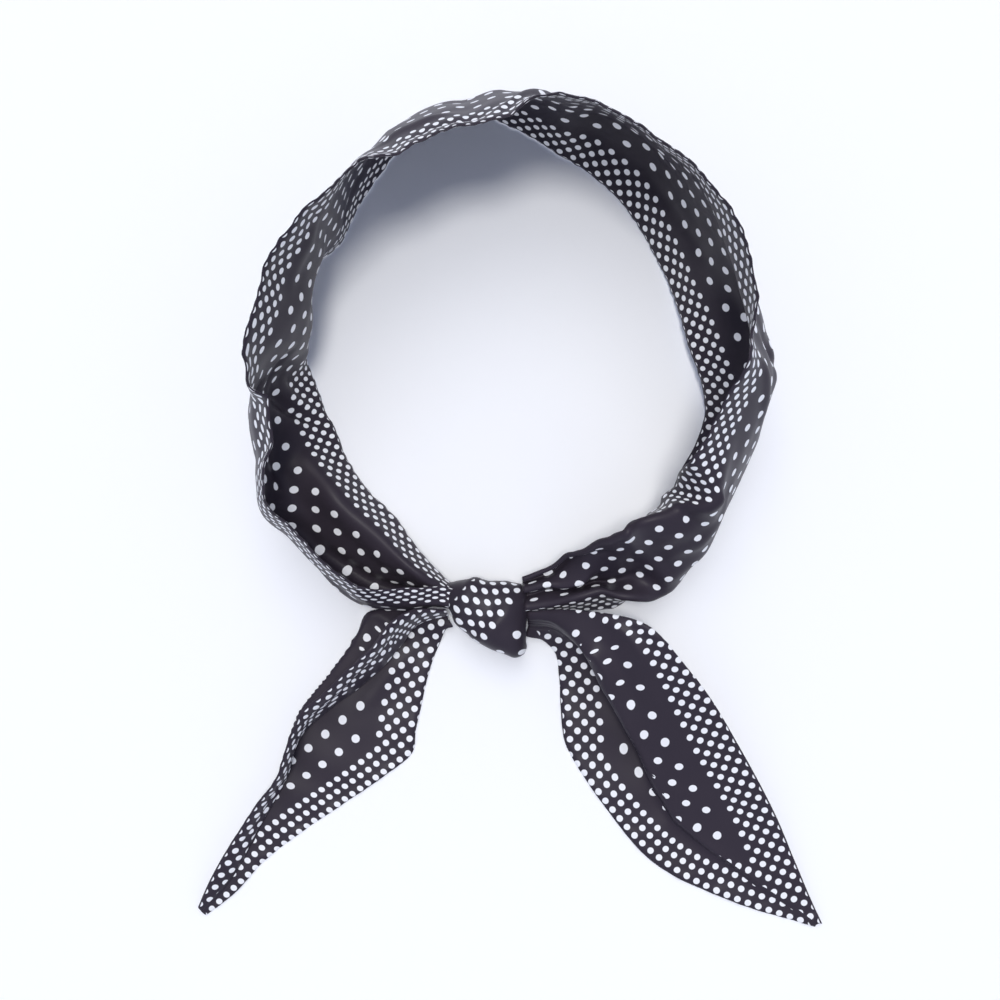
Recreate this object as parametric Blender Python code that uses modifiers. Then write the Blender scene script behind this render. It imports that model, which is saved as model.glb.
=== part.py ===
"""Ribbon scarf tied into a ring: one long ribbon with slanted ends, lying on a table.

Sizes are real millimetres and are turned into metres when the meshes are made.
x runs to the right, y away from the viewer, z up; the table is z = 0.
"""
import bpy
import numpy as np

# ---------------------------------------------------------------- sizes, mm
RIBBON_WIDTH = 60.0
WALL = 1.2                     # the double cloth as a wall
SEAM_GAP = 0.3                 # between neighbouring stretches
FOLD_ROLL = 5.0                # length of cloth that a fold turns over
FOLD_ROLL_AT_KNOT = 2.1
PANELS = (13.0, 8.5, 8.5, 8.5, 8.5, 13.0)   # dotted border, four field strips, border
RING_CENTRE_X = 0.0
RING_CENTRE_Y = 0.0
KNOT_DROP = 42.3               # the tables of knot and tails are measured from here
KNOT_SHIFT = 2.25

ACROSS_RING = 20               # faces across the ribbon
ACROSS_TAIL = 20
DEGREES_PER_ROW = 3.0
TAIL_ROWS = 26

CLOTH_COLOUR = (0.038, 0.034, 0.044, 1.0)
CLOTH_ROUGHNESS = 0.42

# ---------------------------------------------------------------- the ring
# One row for each section.  bearing: degrees clockwise from the far side.
# radius, lift: where the inner hem stands.  The six slopes are those of the
# six panels from that hem to the other one: 0 outward, 90 up, 180 inward.
RING = (
    # bearing radius lift   border field field field field border
    (-171, 69.0, 4.5,   88,  -86,  -86,   94,  114,  128),
    (-166, 67.0, 4.0,   85,  -84,  -82,   90,  112,  126),
    (-158, 62.5, 3.0,   74,  -68,  -60,   75,  100,  122),
    (-148, 57.5, 0.5,   66,  -42,  -38,   56,  104,  128),
    (-132, 55.5, 0.0,   64,  -30,  -28,   72,  107,  126),
    (-120, 54.2, 0.0,   50,    0,   66,   86,  106,  124),
    (-116, 53.6, 0.0,   42,   25,   80,   92,  108,  120),
    (-108, 54.2, 0.0,   38,   48,   90,   98,  106,  112),
    (-100, 55.0, 0.0,   40,   72,   97,  100,  100,   96),
    (-92, 59.0, 0.0,   100,  105,   98,   90,   82,   80),
    (-80, 64.5, 0.0,   122,  122,  100,   78,   73,   74),
    (-68, 61.0, 0.0,   110,  110,  100,   89,   83,   80),
    (-60, 56.5, 0.0,    98,   95,   92,   92,   90,   90),
    (-44, 59.0, 0.0,    89,   93,   95,   99,  104,  108),
    (-32, 62.7, 0.0,    84,   99,  106,  112,  117,  120),
    (-24, 67.5, 0.0,    97,  103,  110,  114,  118,  121),
    (-12, 70.2, 0.0,   105,  108,  112,  115,  118,  120),
    (-1, 63.6, 0.0,     80,   96,  107,  113,  119,  124),
    (6, 60.2, 0.0,      76,   88,   98,  108,  112,  111),
    (14, 57.0, 0.0,     66,   84,   96,  103,  105,  104),
    (24, 54.7, 0.0,     58,   80,   97,  104,  107,  106),
    (38, 52.2, 0.0,     56,   76,   94,  104,  106,  104),
    (54, 49.3, 0.0,     60,   68,   79,   92,  102,   98),
    (70, 48.7, 1.0,     64,   66,   76,   92,  112,   82),
    (82, 49.0, 3.0,     54,   50,   72,  110,  122,   84),
    (92, 51.0, 4.0,     46,   50,   80,  112,  122,  100),
    (100, 54.5, 4.0,    45,   58,   85,  104,  118,  118),
    (108, 58.0, 1.0,    35,   75,   98,  110,  122,  125),
    (116, 59.0, 0.0,    15,   85,  105,  112,  120,  128),
    (126, 61.5, 0.0,     8,   80,  108,  112,  118,  152),
    (131, 64.0, 0.0,     9,   80,  103,  107,  112,  188),
    (136, 66.5, 0.0,    10,   88,  110,  115,  122,  236),
    (146, 71.0, 0.5,    34,  124,  170,   94,  128,  268),
    (156, 73.8, 2.0,    60,  226,   84,  210,   88,  276),
    (164, 72.8, 3.0,    72,  254,   84,  244,   92,  274),
    (171, 71.6, 3.0,    80,  262,   86,  254,   92,  274),
    (176, 71.0, 3.0,    82,  264,   88,  256,   94,  274),
)

# stretches of the ring: name, first bearing, last bearing
STRETCHES = (
    ("ring_lower_left", -146.0, -98.0),
    ("ring_left", -98.0, -34.0),
    ("ring_top", -34.0, -1.0),
    ("ring_upper_right", -1.0, 104.0),
    ("ring_lower_right", 104.0, 141.0),
)
GATHERS = (
    ("gather_left", -165.4, -146.0),
    ("gather_right", 141.0, 175.6),
)

# ---------------------------------------------------------------- the tails
# Sections from the knot to the tip, each point as x y height.  The left tail's
# long hem stands up; its cloth comes down to a foot, turns under to a fold at
# the side and runs back flat to the free edge: short hem, then slanted cut.
TAIL_LEFT = (
    # hem               shoulder            foot               fold               free edge
    (-16.3, -32.6, 9.0, -15.6, -33.0, 9.0, -15.3, -33.8, 4.0, -17.0, -33.2, 1.2, -14.2, -35.4, 3.0),
    (-24.0, -33.0, 15., -23.5, -34.0, 15., -23.0, -36.5, 4.0, -27.0, -33.4, 1.2, -15.4, -36.6, 2.0),
    (-29.3, -34.8, 19., -28.5, -36.0, 18., -27.3, -41.8, 3.5, -37.2, -34.4, 1.2, -16.9, -40.3, 0.0),
    (-33.6, -38.2, 21., -32.7, -39.6, 20., -31.3, -45.8, 3.0, -42.1, -38.7, 1.2, -18.6, -44.2, 0.0),
    (-40.8, -45.3, 21., -39.9, -46.8, 19., -39.1, -52.6, 2.5, -48.6, -47.4, 1.2, -20.6, -50.7, 0.0),
    (-47.6, -51.9, 19., -46.7, -53.4, 18., -47.0, -58.5, 2.2, -54.5, -54.5, 1.2, -22.3, -58.6, 0.0),
    (-53.4, -57.1, 18., -52.5, -58.3, 17., -53.0, -63.6, 2.0, -58.4, -60.4, 1.2, -23.7, -64.8, 0.0),
    (-56.5, -64.2, 17., -55.6, -65.0, 16., -56.4, -68.4, 1.8, -60.9, -66.8, 1.2, -24.5, -70.7, 0.0),
    (-60.1, -74.4, 15., -59.2, -74.8, 14., -59.5, -77.8, 1.5, -63.2, -76.4, 1.0, -32.4, -77.5, 0.0),
    (-66.9, -83.5, 10., -65.1, -83.7, 9.5, -63.5, -85.4, 1.2, -66.3, -85.1, 1.0, -44.2, -85.6, 0.0),
    (-72.6, -92.2, 7.0, -69.9, -92.3, 6.5, -67.7, -93.3, 1.0, -70.4, -93.3, 0.8, -56.3, -93.8, 0.0),
    (-77.3, -99.5, 4.5, -74.2, -99.8, 4.4, -71.0, -100.4, 0.8, -73.6, -100.4, 0.6, -66.5, -101.7, 0.0),
    (-81.4, -107., 3.0, -78.8, -107.8, 2.8, -76.4, -108.9, 0.7, -78.6, -108.6, 0.5, -74.4, -110.4, 0.0),
    (-84.6, -114., 1.4, -84.1, -114.8, 1.4, -83.4, -115.7, 0.5, -84.4, -115.4, 0.4, -82.6, -116.8, 0.0),
)
# long hem: x y height; crest: x y height; tuck under the crest: x y height;
# free edge: x y height.
TAIL_RIGHT = (
    # hem                 crest                tuck                 free edge
    (8.2, -31.8, 9.0, 8.5, -33.5, 10.0, 9.2, -35.0, 4.0, 7.8, -38.0, 3.0),
    (17.0, -31.4, 13.0, 13.5, -34.0, 13.0, 15.0, -36.0, 4.0, 12.0, -39.5, 1.5),
    (27.0, -31.6, 18.0, 17.5, -36.5, 15.5, 20.0, -39.0, 3.0, 15.5, -43.0, 0.0),
    (37.5, -33.0, 22.0, 21.5, -40.5, 17.0, 26.0, -43.5, 2.0, 16.5, -48.5, 0.0),
    (50.0, -45.0, 20.0, 26.5, -49.5, 16.0, 31.0, -52.5, 1.5, 17.0, -57.0, 0.0),
    (57.0, -54.0, 16.0, 31.0, -58.0, 14.0, 35.5, -61.0, 1.2, 17.5, -64.0, 0.0),
    (66.0, -68.5, 10.0, 36.0, -66.5, 11.0, 40.0, -69.0, 1.0, 19.0, -70.0, 0.0),
    (76.0, -86.5, 5.0, 41.5, -78.0, 7.0, 44.0, -80.5, 0.8, 30.0, -87.0, 0.0),
    (82.0, -100.0, 2.5, 49.0, -89.5, 4.0, 51.0, -91.5, 0.6, 42.5, -101.5, 0.0),
    (87.0, -111.5, 1.0, 66.5, -103.5, 2.0, 68.0, -104.5, 0.4, 65.5, -113.0, 0.0),
    (90.5, -119.0, 0.4, 88.8, -118.3, 0.5, 89.0, -118.8, 0.2, 88.5, -120.0, 0.0),
)
TAIL_ROUNDING = 4.0
TAIL_GATHER_ROWS = (0.0, 0.15)       # share of the tail's length that is gathered
TAIL_SEAM = {"tail_left": 0.005, "tail_right": 0.022}     # share left open after the gather

# ---------------------------------------------------------------- the knot
# Loops of the wrap from left to right: x, far side y, near side y, top height.
KNOT = (
    (-15.0, -24.0, -28.5, 8.0),
    (-13.5, -23.0, -31.0, 11.0),
    (-11.5, -22.5, -34.5, 13.0),
    (-7.5, -22.0, -38.0, 14.5),
    (-3.0, -22.5, -40.5, 15.5),
    (1.5, -22.5, -42.0, 15.5),
    (4.0, -23.0, -43.0, 14.5),
    (6.0, -23.5, -42.5, 12.5),
    (7.0, -24.5, -41.5, 9.0),
)
KNOT_SQUARENESS = 2.6


# ---------------------------------------------------------------- curves
def flow(keys, table):
    """Smooth values of the table's columns at the keys; column 0 is the key."""
    table = np.asarray(table, float)
    at, val = table[:, 0], table[:, 1:]
    tangent = np.gradient(val, at, axis=0)
    return hermite(keys, at, val, tangent)


def glide(keys, table):
    """The same without overshoot, for slopes that jump from row to row."""
    table = np.asarray(table, float)
    at, val = table[:, 0], table[:, 1:]
    rate = np.diff(val, axis=0) / np.diff(at)[:, None]
    before, after = rate[:-1], rate[1:]
    same = before * after > 0
    total = np.where(same, before + after, 1.0)
    tangent = np.zeros_like(val)
    tangent[1:-1] = np.where(same, 2.0 * before * after / total, 0.0)
    tangent[0], tangent[-1] = rate[0], rate[-1]
    return hermite(keys, at, val, tangent)


def hermite(keys, at, val, tangent):
    i = np.clip(np.searchsorted(at, keys, side="right") - 1, 0, len(at) - 2)
    step = (at[i + 1] - at[i])[:, None]
    u = (keys - at[i])[:, None] / step
    start = val[i] * (1 + 2 * u) * (1 - u) ** 2 + tangent[i] * step * u * (1 - u) ** 2
    end = val[i + 1] * u * u * (3 - 2 * u) + tangent[i + 1] * step * u * u * (u - 1)
    return start + end


def arc_length(points):
    steps = np.linalg.norm(np.diff(points, axis=0), axis=1)
    return np.concatenate([[0.0], np.cumsum(steps)])


def evenly(points, count, rounding):
    """A section's corners rounded, as count + 1 points at even distances."""
    length = arc_length(points)
    fine = 240
    where = np.linspace(0.0, length[-1], fine + 1)
    line = np.stack([np.interp(where, length, points[:, k]) for k in range(3)], 1)
    index = np.arange(fine + 1)
    reach = max(1, int(rounding / max(length[-1], 1e-6) * fine / 2))
    half = np.minimum(np.minimum(index, fine - index), reach)
    for _ in range(2):
        total = np.vstack([np.zeros(3), np.cumsum(line, 0)])
        line = (total[index + half + 1] - total[index - half]) / (2 * half + 1)[:, None]
    length = arc_length(line)
    where = np.linspace(0.0, length[-1], count + 1)
    return np.stack([np.interp(where, length, line[:, k]) for k in range(3)], 1)


# ---------------------------------------------------------------- the form
def ring_sections(bearings, across):
    """Sections of the ribbon round the ring, shape (rows, across + 1, 3)."""
    place = flow(bearings, [row[:3] for row in RING])
    slopes = glide(bearings, [(row[0],) + row[3:] for row in RING])
    near_knot = np.clip((np.abs(bearings) - 138.0) / 30.0, 0.0, 1.0)[:, None]
    roll = FOLD_ROLL + (FOLD_ROLL_AT_KNOT - FOLD_ROLL) * near_knot
    fine = 120
    t = (np.arange(fine) + 0.5) * RIBBON_WIDTH / fine
    slope = np.repeat(slopes[:, :1], fine, axis=1)
    for k, fold in enumerate(np.cumsum(PANELS)[:-1]):
        u = np.clip((t - fold)[None] / roll + 0.5, 0.0, 1.0)
        change = slopes[:, k + 1:k + 2] - slopes[:, k:k + 1]
        slope = slope + change * u * u * (3 - 2 * u)
    slope = np.radians(slope)
    step = RIBBON_WIDTH / fine
    radius = np.hstack([place[:, :1], place[:, :1] + np.cumsum(np.cos(slope), 1) * step])
    height = np.hstack([place[:, 1:], place[:, 1:] + np.cumsum(np.sin(slope), 1) * step])
    keep = np.linspace(0, fine, across + 1).round().astype(int)
    radius, height = radius[:, keep], np.maximum(height[:, keep], 0.0)
    turn = np.radians(bearings)[:, None]
    x = RING_CENTRE_X + radius * np.sin(turn)
    y = RING_CENTRE_Y + radius * np.cos(turn)
    return np.stack([x, y, height], -1)


def from_knot(points):
    """Knot and tail tables are measured from a point nearer the viewer."""
    points = np.asarray(points, float).copy()
    points[..., 0] += RING_CENTRE_X - KNOT_SHIFT
    points[..., 1] += RING_CENTRE_Y - KNOT_DROP
    return points


def tail_sections(table, across, first, last, rows):
    """Sections of a tail between two shares of its length; across None: the corners only."""
    corners = from_knot([np.reshape(row, (-1, 3)) for row in table])
    key = arc_length(corners.mean(axis=1))
    flat = np.hstack([key[:, None], corners.reshape(len(key), -1)])
    where = np.linspace(first * key[-1], last * key[-1], rows + 1)
    lines = flow(where, flat).reshape(rows + 1, -1, 3)
    lines[..., 2] = np.maximum(lines[..., 2], 0.0)
    if across is None:
        return lines
    return np.stack([evenly(line, across, TAIL_ROUNDING) for line in lines])


# ---------------------------------------------------------------- meshes
def material(name, shade):
    mat = bpy.data.materials.new(name)
    mat.use_nodes = True
    shader = mat.node_tree.nodes["Principled BSDF"]
    shader.inputs["Base Color"].default_value = tuple(shade * c for c in CLOTH_COLOUR[:3]) + (1.0,)
    shader.inputs["Roughness"].default_value = CLOTH_ROUGHNESS
    shader.inputs["Metallic"].default_value = 0.0
    return mat


def solid(name, points, faces, shade):
    """A mesh object of the collection, in metres, with its own material."""
    mesh = bpy.data.meshes.new(name)
    mesh.from_pydata((np.asarray(points) * 0.001).tolist(), [], faces)
    mesh.update()
    mesh.materials.append(material(name, shade))
    obj = bpy.data.objects.new(name, mesh)
    SCARF.objects.link(obj)
    return obj


def wall(name, grid, shade, between=None):
    """A wall of cloth: the grid thickened by Solidify, with a flat underside.

    between: the bearings that a stretch of the ring ends at, seams square.
    """
    rows, cols = grid.shape[:2]
    grid = grid + np.array((0.0, 0.0, WALL / 2))
    index = np.arange(rows * cols).reshape(rows, cols)
    quads = np.stack([index[:-1, :-1], index[:-1, 1:], index[1:, 1:], index[1:, :-1]], -1)
    sheet = solid(name, grid.reshape(-1, 3), quads.reshape(-1, 4).tolist(), shade)
    thicken = sheet.modifiers.new("thickness", "SOLIDIFY")
    thicken.thickness = WALL * 0.001
    thicken.offset = 0.0
    thicken.use_even_offset = False
    view = bpy.context.evaluated_depsgraph_get()
    mesh = bpy.data.meshes.new_from_object(sheet.evaluated_get(view))
    sheet.modifiers.clear()
    sheet.data = mesh
    for vertex in mesh.vertices:
        if vertex.co.z < WALL * 0.55 * 0.001:
            vertex.co.z = 0.0
        if between:
            dx = vertex.co.x - RING_CENTRE_X * 0.001
            dy = vertex.co.y - RING_CENTRE_Y * 0.001
            radius = np.hypot(dx, dy)
            bearing = np.clip(np.arctan2(dx, dy), *np.radians(between))
            vertex.co.x = RING_CENTRE_X * 0.001 + radius * np.sin(bearing)
            vertex.co.y = RING_CENTRE_Y * 0.001 + radius * np.cos(bearing)
    mesh.update()
    return sheet


def bundle(name, grid, shade, stations=9):
    """Gathered cloth as one solid: its hidden layers are filled."""
    top_lines, low_lines = [], []
    for line in grid:
        across = line[-1, :2] - line[0, :2]
        if name.startswith("gather"):
            across = line[0, :2] - np.array((RING_CENTRE_X, RING_CENTRE_Y))
        across = across / np.linalg.norm(across)
        along = (line[:, :2] - line[0, :2]) @ across
        where = np.linspace(along.min(), along.max(), stations + 1)
        top = np.zeros(stations + 1)
        for a, b, za, zb in zip(along[:-1], along[1:], line[:-1, 2], line[1:, 2]):
            low, high = min(a, b) - 0.4, max(a, b) + 0.4
            hit = (where >= low) & (where <= high)
            share = np.clip((where - a) / (b - a if abs(b - a) > 1e-6 else 1.0), 0.0, 1.0)
            top = np.where(hit, np.maximum(top, za + (zb - za) * share), top)
        floor = line[:, 2].min()
        floor = 0.0 if floor < 1.5 else floor
        top = np.maximum(top, floor + 1.5)
        top[1:-1] = 0.5 * top[1:-1] + 0.25 * (top[:-2] + top[2:])
        top[[0, -1]] = floor + 0.6 * (top[[0, -1]] - floor)
        flat = line[0, :2] + where[:, None] * across
        top_lines.append(np.column_stack([flat, top]))
        low_lines.append(np.column_stack([flat, np.full(stations + 1, floor)]))
    loops = [np.vstack([t, l[::-1]]) for t, l in zip(top_lines, low_lines)]
    return loft(name, loops, shade)


def turned_under(name, table, first, shade, steps=4):
    """The left tail: a raised flap on a double layer that becomes a single one."""
    lines = tail_sections(table, None, first, 1.0, TAIL_ROWS)
    hem, shoulder, foot, fold, free = (lines[:, k] for k in range(5))
    flap = [foot + (shoulder - foot) * k / steps for k in range(1, steps + 1)] + [hem]
    flap = np.stack(flap, axis=1)
    normal = np.cross(np.gradient(flap, axis=0), np.gradient(flap, axis=1))
    normal = normal / np.linalg.norm(normal, axis=2, keepdims=True)
    away = foot - fold
    away[:, 2] = 0.0
    away = away / np.linalg.norm(away, axis=1, keepdims=True)
    side = np.sign(np.sum(normal * away[:, None], axis=2, keepdims=True).mean())
    half = np.minimum(WALL / 2, 0.35 * np.linalg.norm(hem - foot, axis=1))[:, None, None]
    outer, inner = flap - normal * side * half, flap + normal * side * half
    loops = []
    for r in range(len(lines)):
        reach = np.linalg.norm(foot[r, :2] - fold[r, :2])
        step = min(WALL / 2, 0.3 * reach)
        low = fold[r] * (1, 1, 0)
        double = min(2 * WALL, foot[r, 2] + WALL)
        back = foot[r] - away[r] * step
        front = foot[r] + away[r] * step
        top = (fold[r] * (1, 1, 0) + (0, 0, 0.7 * double), back * (1, 1, 0) + (0, 0, double))
        end = (front * (1, 1, 0) + (0, 0, double), free[r] + (0, 0, WALL), free[r] * (1, 1, 0))
        loops.append(np.vstack([low, top[0], top[1], outer[r], inner[r][::-1], end]))
    return loft(name, loops, shade)


def loft(name, loops, shade):
    """A closed solid through loops of equal point count, capped at both ends."""
    count, rows = len(loops[0]), len(loops)
    points = np.vstack(loops)
    faces = []
    for r in range(rows - 1):
        for k in range(count):
            n = (k + 1) % count
            faces.append((r * count + k, r * count + n, (r + 1) * count + n, (r + 1) * count + k))
    faces.append(tuple(range(count))[::-1])
    faces.append(tuple((rows - 1) * count + k for k in range(count)))
    body = solid(name, points, faces, shade)
    return body


def knot_loops(sides=20):
    """Rounded loops round the ribbon's axis, flat below."""
    angle = np.linspace(0.0, 2 * np.pi, sides, endpoint=False)
    power = 2.0 / KNOT_SQUARENESS
    wide = np.sign(np.cos(angle)) * np.abs(np.cos(angle)) ** power
    high = np.sign(np.sin(angle)) * np.abs(np.sin(angle)) ** power
    loops = []
    for x, far, near, top in KNOT:
        y = (far + near) / 2 + wide * (far - near) / 2
        z = top / 2 + high * top / 2
        loops.append(from_knot(np.column_stack([np.full(sides, x), y, z])))
    return loops


def outward(obj):
    """Face normals outward, whichever way the loops ran."""
    import bmesh
    work = bmesh.new()
    work.from_mesh(obj.data)
    bmesh.ops.recalc_face_normals(work, faces=work.faces)
    work.to_mesh(obj.data)
    work.free()


def build():
    bodies = []
    for k, (name, first, last) in enumerate(STRETCHES):
        gap = np.degrees(SEAM_GAP / 2 / 60.0)
        rows = int(round((last - first) / DEGREES_PER_ROW))
        bearings = np.linspace(first + gap, last - gap, rows + 1)
        ends = (first + gap, last - gap)
        bodies.append(wall(name, ring_sections(bearings, ACROSS_RING), 1.0 + 0.06 * k, ends))
    for k, (name, first, last) in enumerate(GATHERS):
        gap = np.degrees(SEAM_GAP / 60.0)
        bearings = np.linspace(first + gap, last - gap, 11)
        bodies.append(bundle(name, ring_sections(bearings, 60), 0.9 + 0.1 * k))
    first, last = TAIL_GATHER_ROWS
    for name, table in (("tail_left", TAIL_LEFT), ("tail_right", TAIL_RIGHT)):
        grid = tail_sections(table, 40, first, last - TAIL_SEAM[name], 6)
        bodies.append(bundle(name + "_gather", grid, 0.95))
        if name == "tail_left":
            bodies.append(turned_under(name, table, last, 1.05))
        else:
            grid = tail_sections(table, ACROSS_TAIL, last, 1.0, TAIL_ROWS)
            bodies.append(wall(name, grid, 1.05))
    bodies.append(loft("knot_wrap", knot_loops(), 1.1))
    for body in bodies:
        outward(body)
    centre_on_box(bodies)


def centre_on_box(bodies):
    """Origin at the middle of the bounding box's underside."""
    points = np.vstack([[v.co[:] for v in body.data.vertices] for body in bodies])
    low, high = points.min(axis=0), points.max(axis=0)
    middle = ((low[0] + high[0]) / 2, (low[1] + high[1]) / 2, low[2])
    for body in bodies:
        for vertex in body.data.vertices:
            vertex.co.x -= middle[0]
            vertex.co.y -= middle[1]
            vertex.co.z -= middle[2]
        body.data.update()


for old in list(bpy.data.objects):
    bpy.data.objects.remove(old, do_unlink=True)
SCARF = bpy.data.collections.new("ribbon_scarf")
bpy.context.scene.collection.children.link(SCARF)
build()
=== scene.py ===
"""Ribbon scarf tied into a ring, lying on a pale table: its looks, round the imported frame."""
import math

import bpy
import numpy as np
from bpy.props import FloatProperty, FloatVectorProperty, PointerProperty
from bpy.types import Operator, Panel, PropertyGroup
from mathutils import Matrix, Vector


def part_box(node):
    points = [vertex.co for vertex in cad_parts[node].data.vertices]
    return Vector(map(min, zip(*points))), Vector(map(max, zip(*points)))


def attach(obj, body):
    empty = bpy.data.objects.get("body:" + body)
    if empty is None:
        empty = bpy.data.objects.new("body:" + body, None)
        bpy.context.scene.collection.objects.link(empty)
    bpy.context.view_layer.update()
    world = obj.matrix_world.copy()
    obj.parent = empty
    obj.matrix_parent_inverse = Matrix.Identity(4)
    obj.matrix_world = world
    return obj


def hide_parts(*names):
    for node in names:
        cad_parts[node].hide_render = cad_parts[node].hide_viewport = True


bl_info = {
    "name": "Ribbon Scarf",
    "version": (1, 0, 0),
    "blender": (4, 5, 0),
    "location": "3D View > Sidebar > Ribbon Scarf",
    "description": "Dresses a knotted ribbon scarf: satin sheets with a dotted print, table and light",
    "category": "Add Mesh",
}

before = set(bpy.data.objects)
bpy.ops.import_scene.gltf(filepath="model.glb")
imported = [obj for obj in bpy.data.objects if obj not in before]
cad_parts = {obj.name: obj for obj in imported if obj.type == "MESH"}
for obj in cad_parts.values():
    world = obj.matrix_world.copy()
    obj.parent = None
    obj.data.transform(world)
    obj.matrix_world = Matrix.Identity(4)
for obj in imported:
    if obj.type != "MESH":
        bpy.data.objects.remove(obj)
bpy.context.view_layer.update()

# ---------------------------------------------------------------- sizes, mm
RIBBON_WIDTH = 60.0
PANELS = (13.0, 8.5, 8.5, 8.5, 8.5, 13.0)       # from hem to hem: border, field, border
FOLD_ROLL = 5.0                 # width over which a fold between two panels turns
FOLD_ROLL_AT_KNOT = 2.1
CLOTH = 0.46                    # double satin
HEM_SWELL = 0.34                # extra thickness over the turned seam allowance
HEM_MIDDLE = 1.6                # middle of that allowance, from the hem
HEM_SPREAD = 1.5
EDGE_ROUNDING = 0.45            # a hem is rounded over this width
EDGE_KEPT = 0.04                # its very edge keeps the root of this share of the thickness
UPPER_LIFT = 0.03               # the upper face stays this far over the table
LIFT = 0.35                     # the cloth's middle over the table, where it lies flat
KNOT_SHIFT, KNOT_DROP = 2.25, 42.3      # the picture's middle, left and near of the ring's centre

# The ring's sections: bearing clockwise from the far side, radius and lift of
# the inner hem, six slopes across (0 outward, 90 up, 180 inward).
RING = (
    # bearing radius lift   border field field field field border
    (-171, 69.0, 4.5,   84,  -84,  -86,   88,   96,  108),
    (-166, 67.0, 4.0,   82,  -80,  -82,   86,   98,  112),
    (-158, 62.5, 3.0,   74,  -68,  -60,   75,  100,  114),
    (-148, 57.5, 0.5,   66,  -42,  -38,   66,   98,  108),
    (-132, 55.5, 0.0,   64,  -30,  -28,   78,  100,  108),
    (-120, 54.2, 0.0,   50,    0,   66,   86,  104,  112),
    (-116, 53.6, 0.0,   42,   25,   80,   92,  108,  120),
    (-108, 54.2, 0.0,   46,   50,   82,   92,  110,  120),
    (-104, 54.4, 0.0,   50,   62,   88,   94,   98,   98),
    (-100, 55.0, 0.0,   58,   76,   94,   96,   92,   88),
    (-92, 57.5, 0.0,   104,   95,   88,   82,   75,   72),
    (-80, 64.5, 0.0,   122,  122,  100,   78,   73,   74),
    (-68, 61.0, 0.0,   110,  110,  100,   89,   83,   80),
    (-60, 56.5, 0.0,    98,   95,   92,   92,   90,   90),
    (-44, 59.0, 0.0,    89,   93,   95,   99,  104,  108),
    (-32, 62.7, 0.0,    84,   99,  106,  112,  117,  120),
    (-24, 67.5, 0.0,    97,  103,  110,  114,  118,  121),
    (-12, 70.2, 0.0,   105,  108,  112,  115,  118,  120),
    (-1, 63.6, 0.0,     80,   96,  107,  113,  119,  124),
    (6, 60.2, 0.0,      76,   88,   98,  108,  112,  111),
    (14, 57.0, 0.0,     72,   84,   96,  103,  105,  104),
    (24, 54.7, 0.0,     54,   77,   97,  104,  107,  106),
    (38, 52.2, 0.0,     50,   71,   94,  104,  106,  104),
    (54, 49.3, 0.0,     60,   68,   79,   92,  102,   98),
    (70, 48.7, 1.0,     64,   66,   76,   92,  112,   82),
    (82, 49.0, 3.0,     54,   50,   72,  110,  122,   84),
    (92, 51.0, 4.0,     46,   50,   80,  112,  122,  100),
    (100, 54.5, 4.0,    45,   58,   85,  104,  118,  118),
    (108, 58.0, 1.0,    35,   75,   98,  110,  122,  125),
    (116, 59.0, 0.0,    15,   85,  105,  112,  120,  128),
    (126, 59.5, 0.0,     8,   80,  107,  109,  106,  148),
    (128, 60.0, 0.0,     8,   80,  105,  105,   99,  180),
    (131, 61.2, 0.0,     9,   80,  104,  108,  112,  225),
    (136, 64.0, 0.0,    12,   84,  112,  130,  148,  260),
    (141, 67.0, 0.0,    20,  102,  132,  126,  144,  272),
    (146, 70.0, 0.5,    30,  122,  150,  128,  132,  282),
    (150, 72.0, 1.2,    48,  178,  124,  118,  114,  282),
    (153, 75.5, 2.5,    78,  225,  121,  116,  112,  282),
    (156, 77.6, 3.5,   100,  246,  118,  124,  106,  280),
    (160, 77.5, 4.0,   118,  262,  102,  136,   92,  278),
    (163, 76.2, 4.0,   112,  262,   89,  180,   84,  277),
    (166, 75.0, 4.0,   106,  262,   92,  222,   90,  276),
    (171, 74.2, 3.0,   100,  250,   96,  258,   92,  275),
    (176, 74.0, 3.0,    98,  254,   95,  262,   90,  275),
)
# Beside the knot the cloth is gathered lower: bearing and 1 / greatest height.
NECKS = (
    (-171, 0.100), (-166, 0.095), (-160, 0.064), (-150, 0.032), (-138, 0.0),
    (148, 0.0), (158, 0.030), (168, 0.062), (176, 0.082),
)
RING_FROM, RING_TO = -168.0, 176.5
RING_RADIUS = 62.0              # at which a crease's bearings are measured out
NECK_FROM, NECK_LENGTH = 138.0, 30.0            # bearings over which the folds tighten
RELAX_ROUNDS = 900              # rounds that lay the ring's print out, at most

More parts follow.
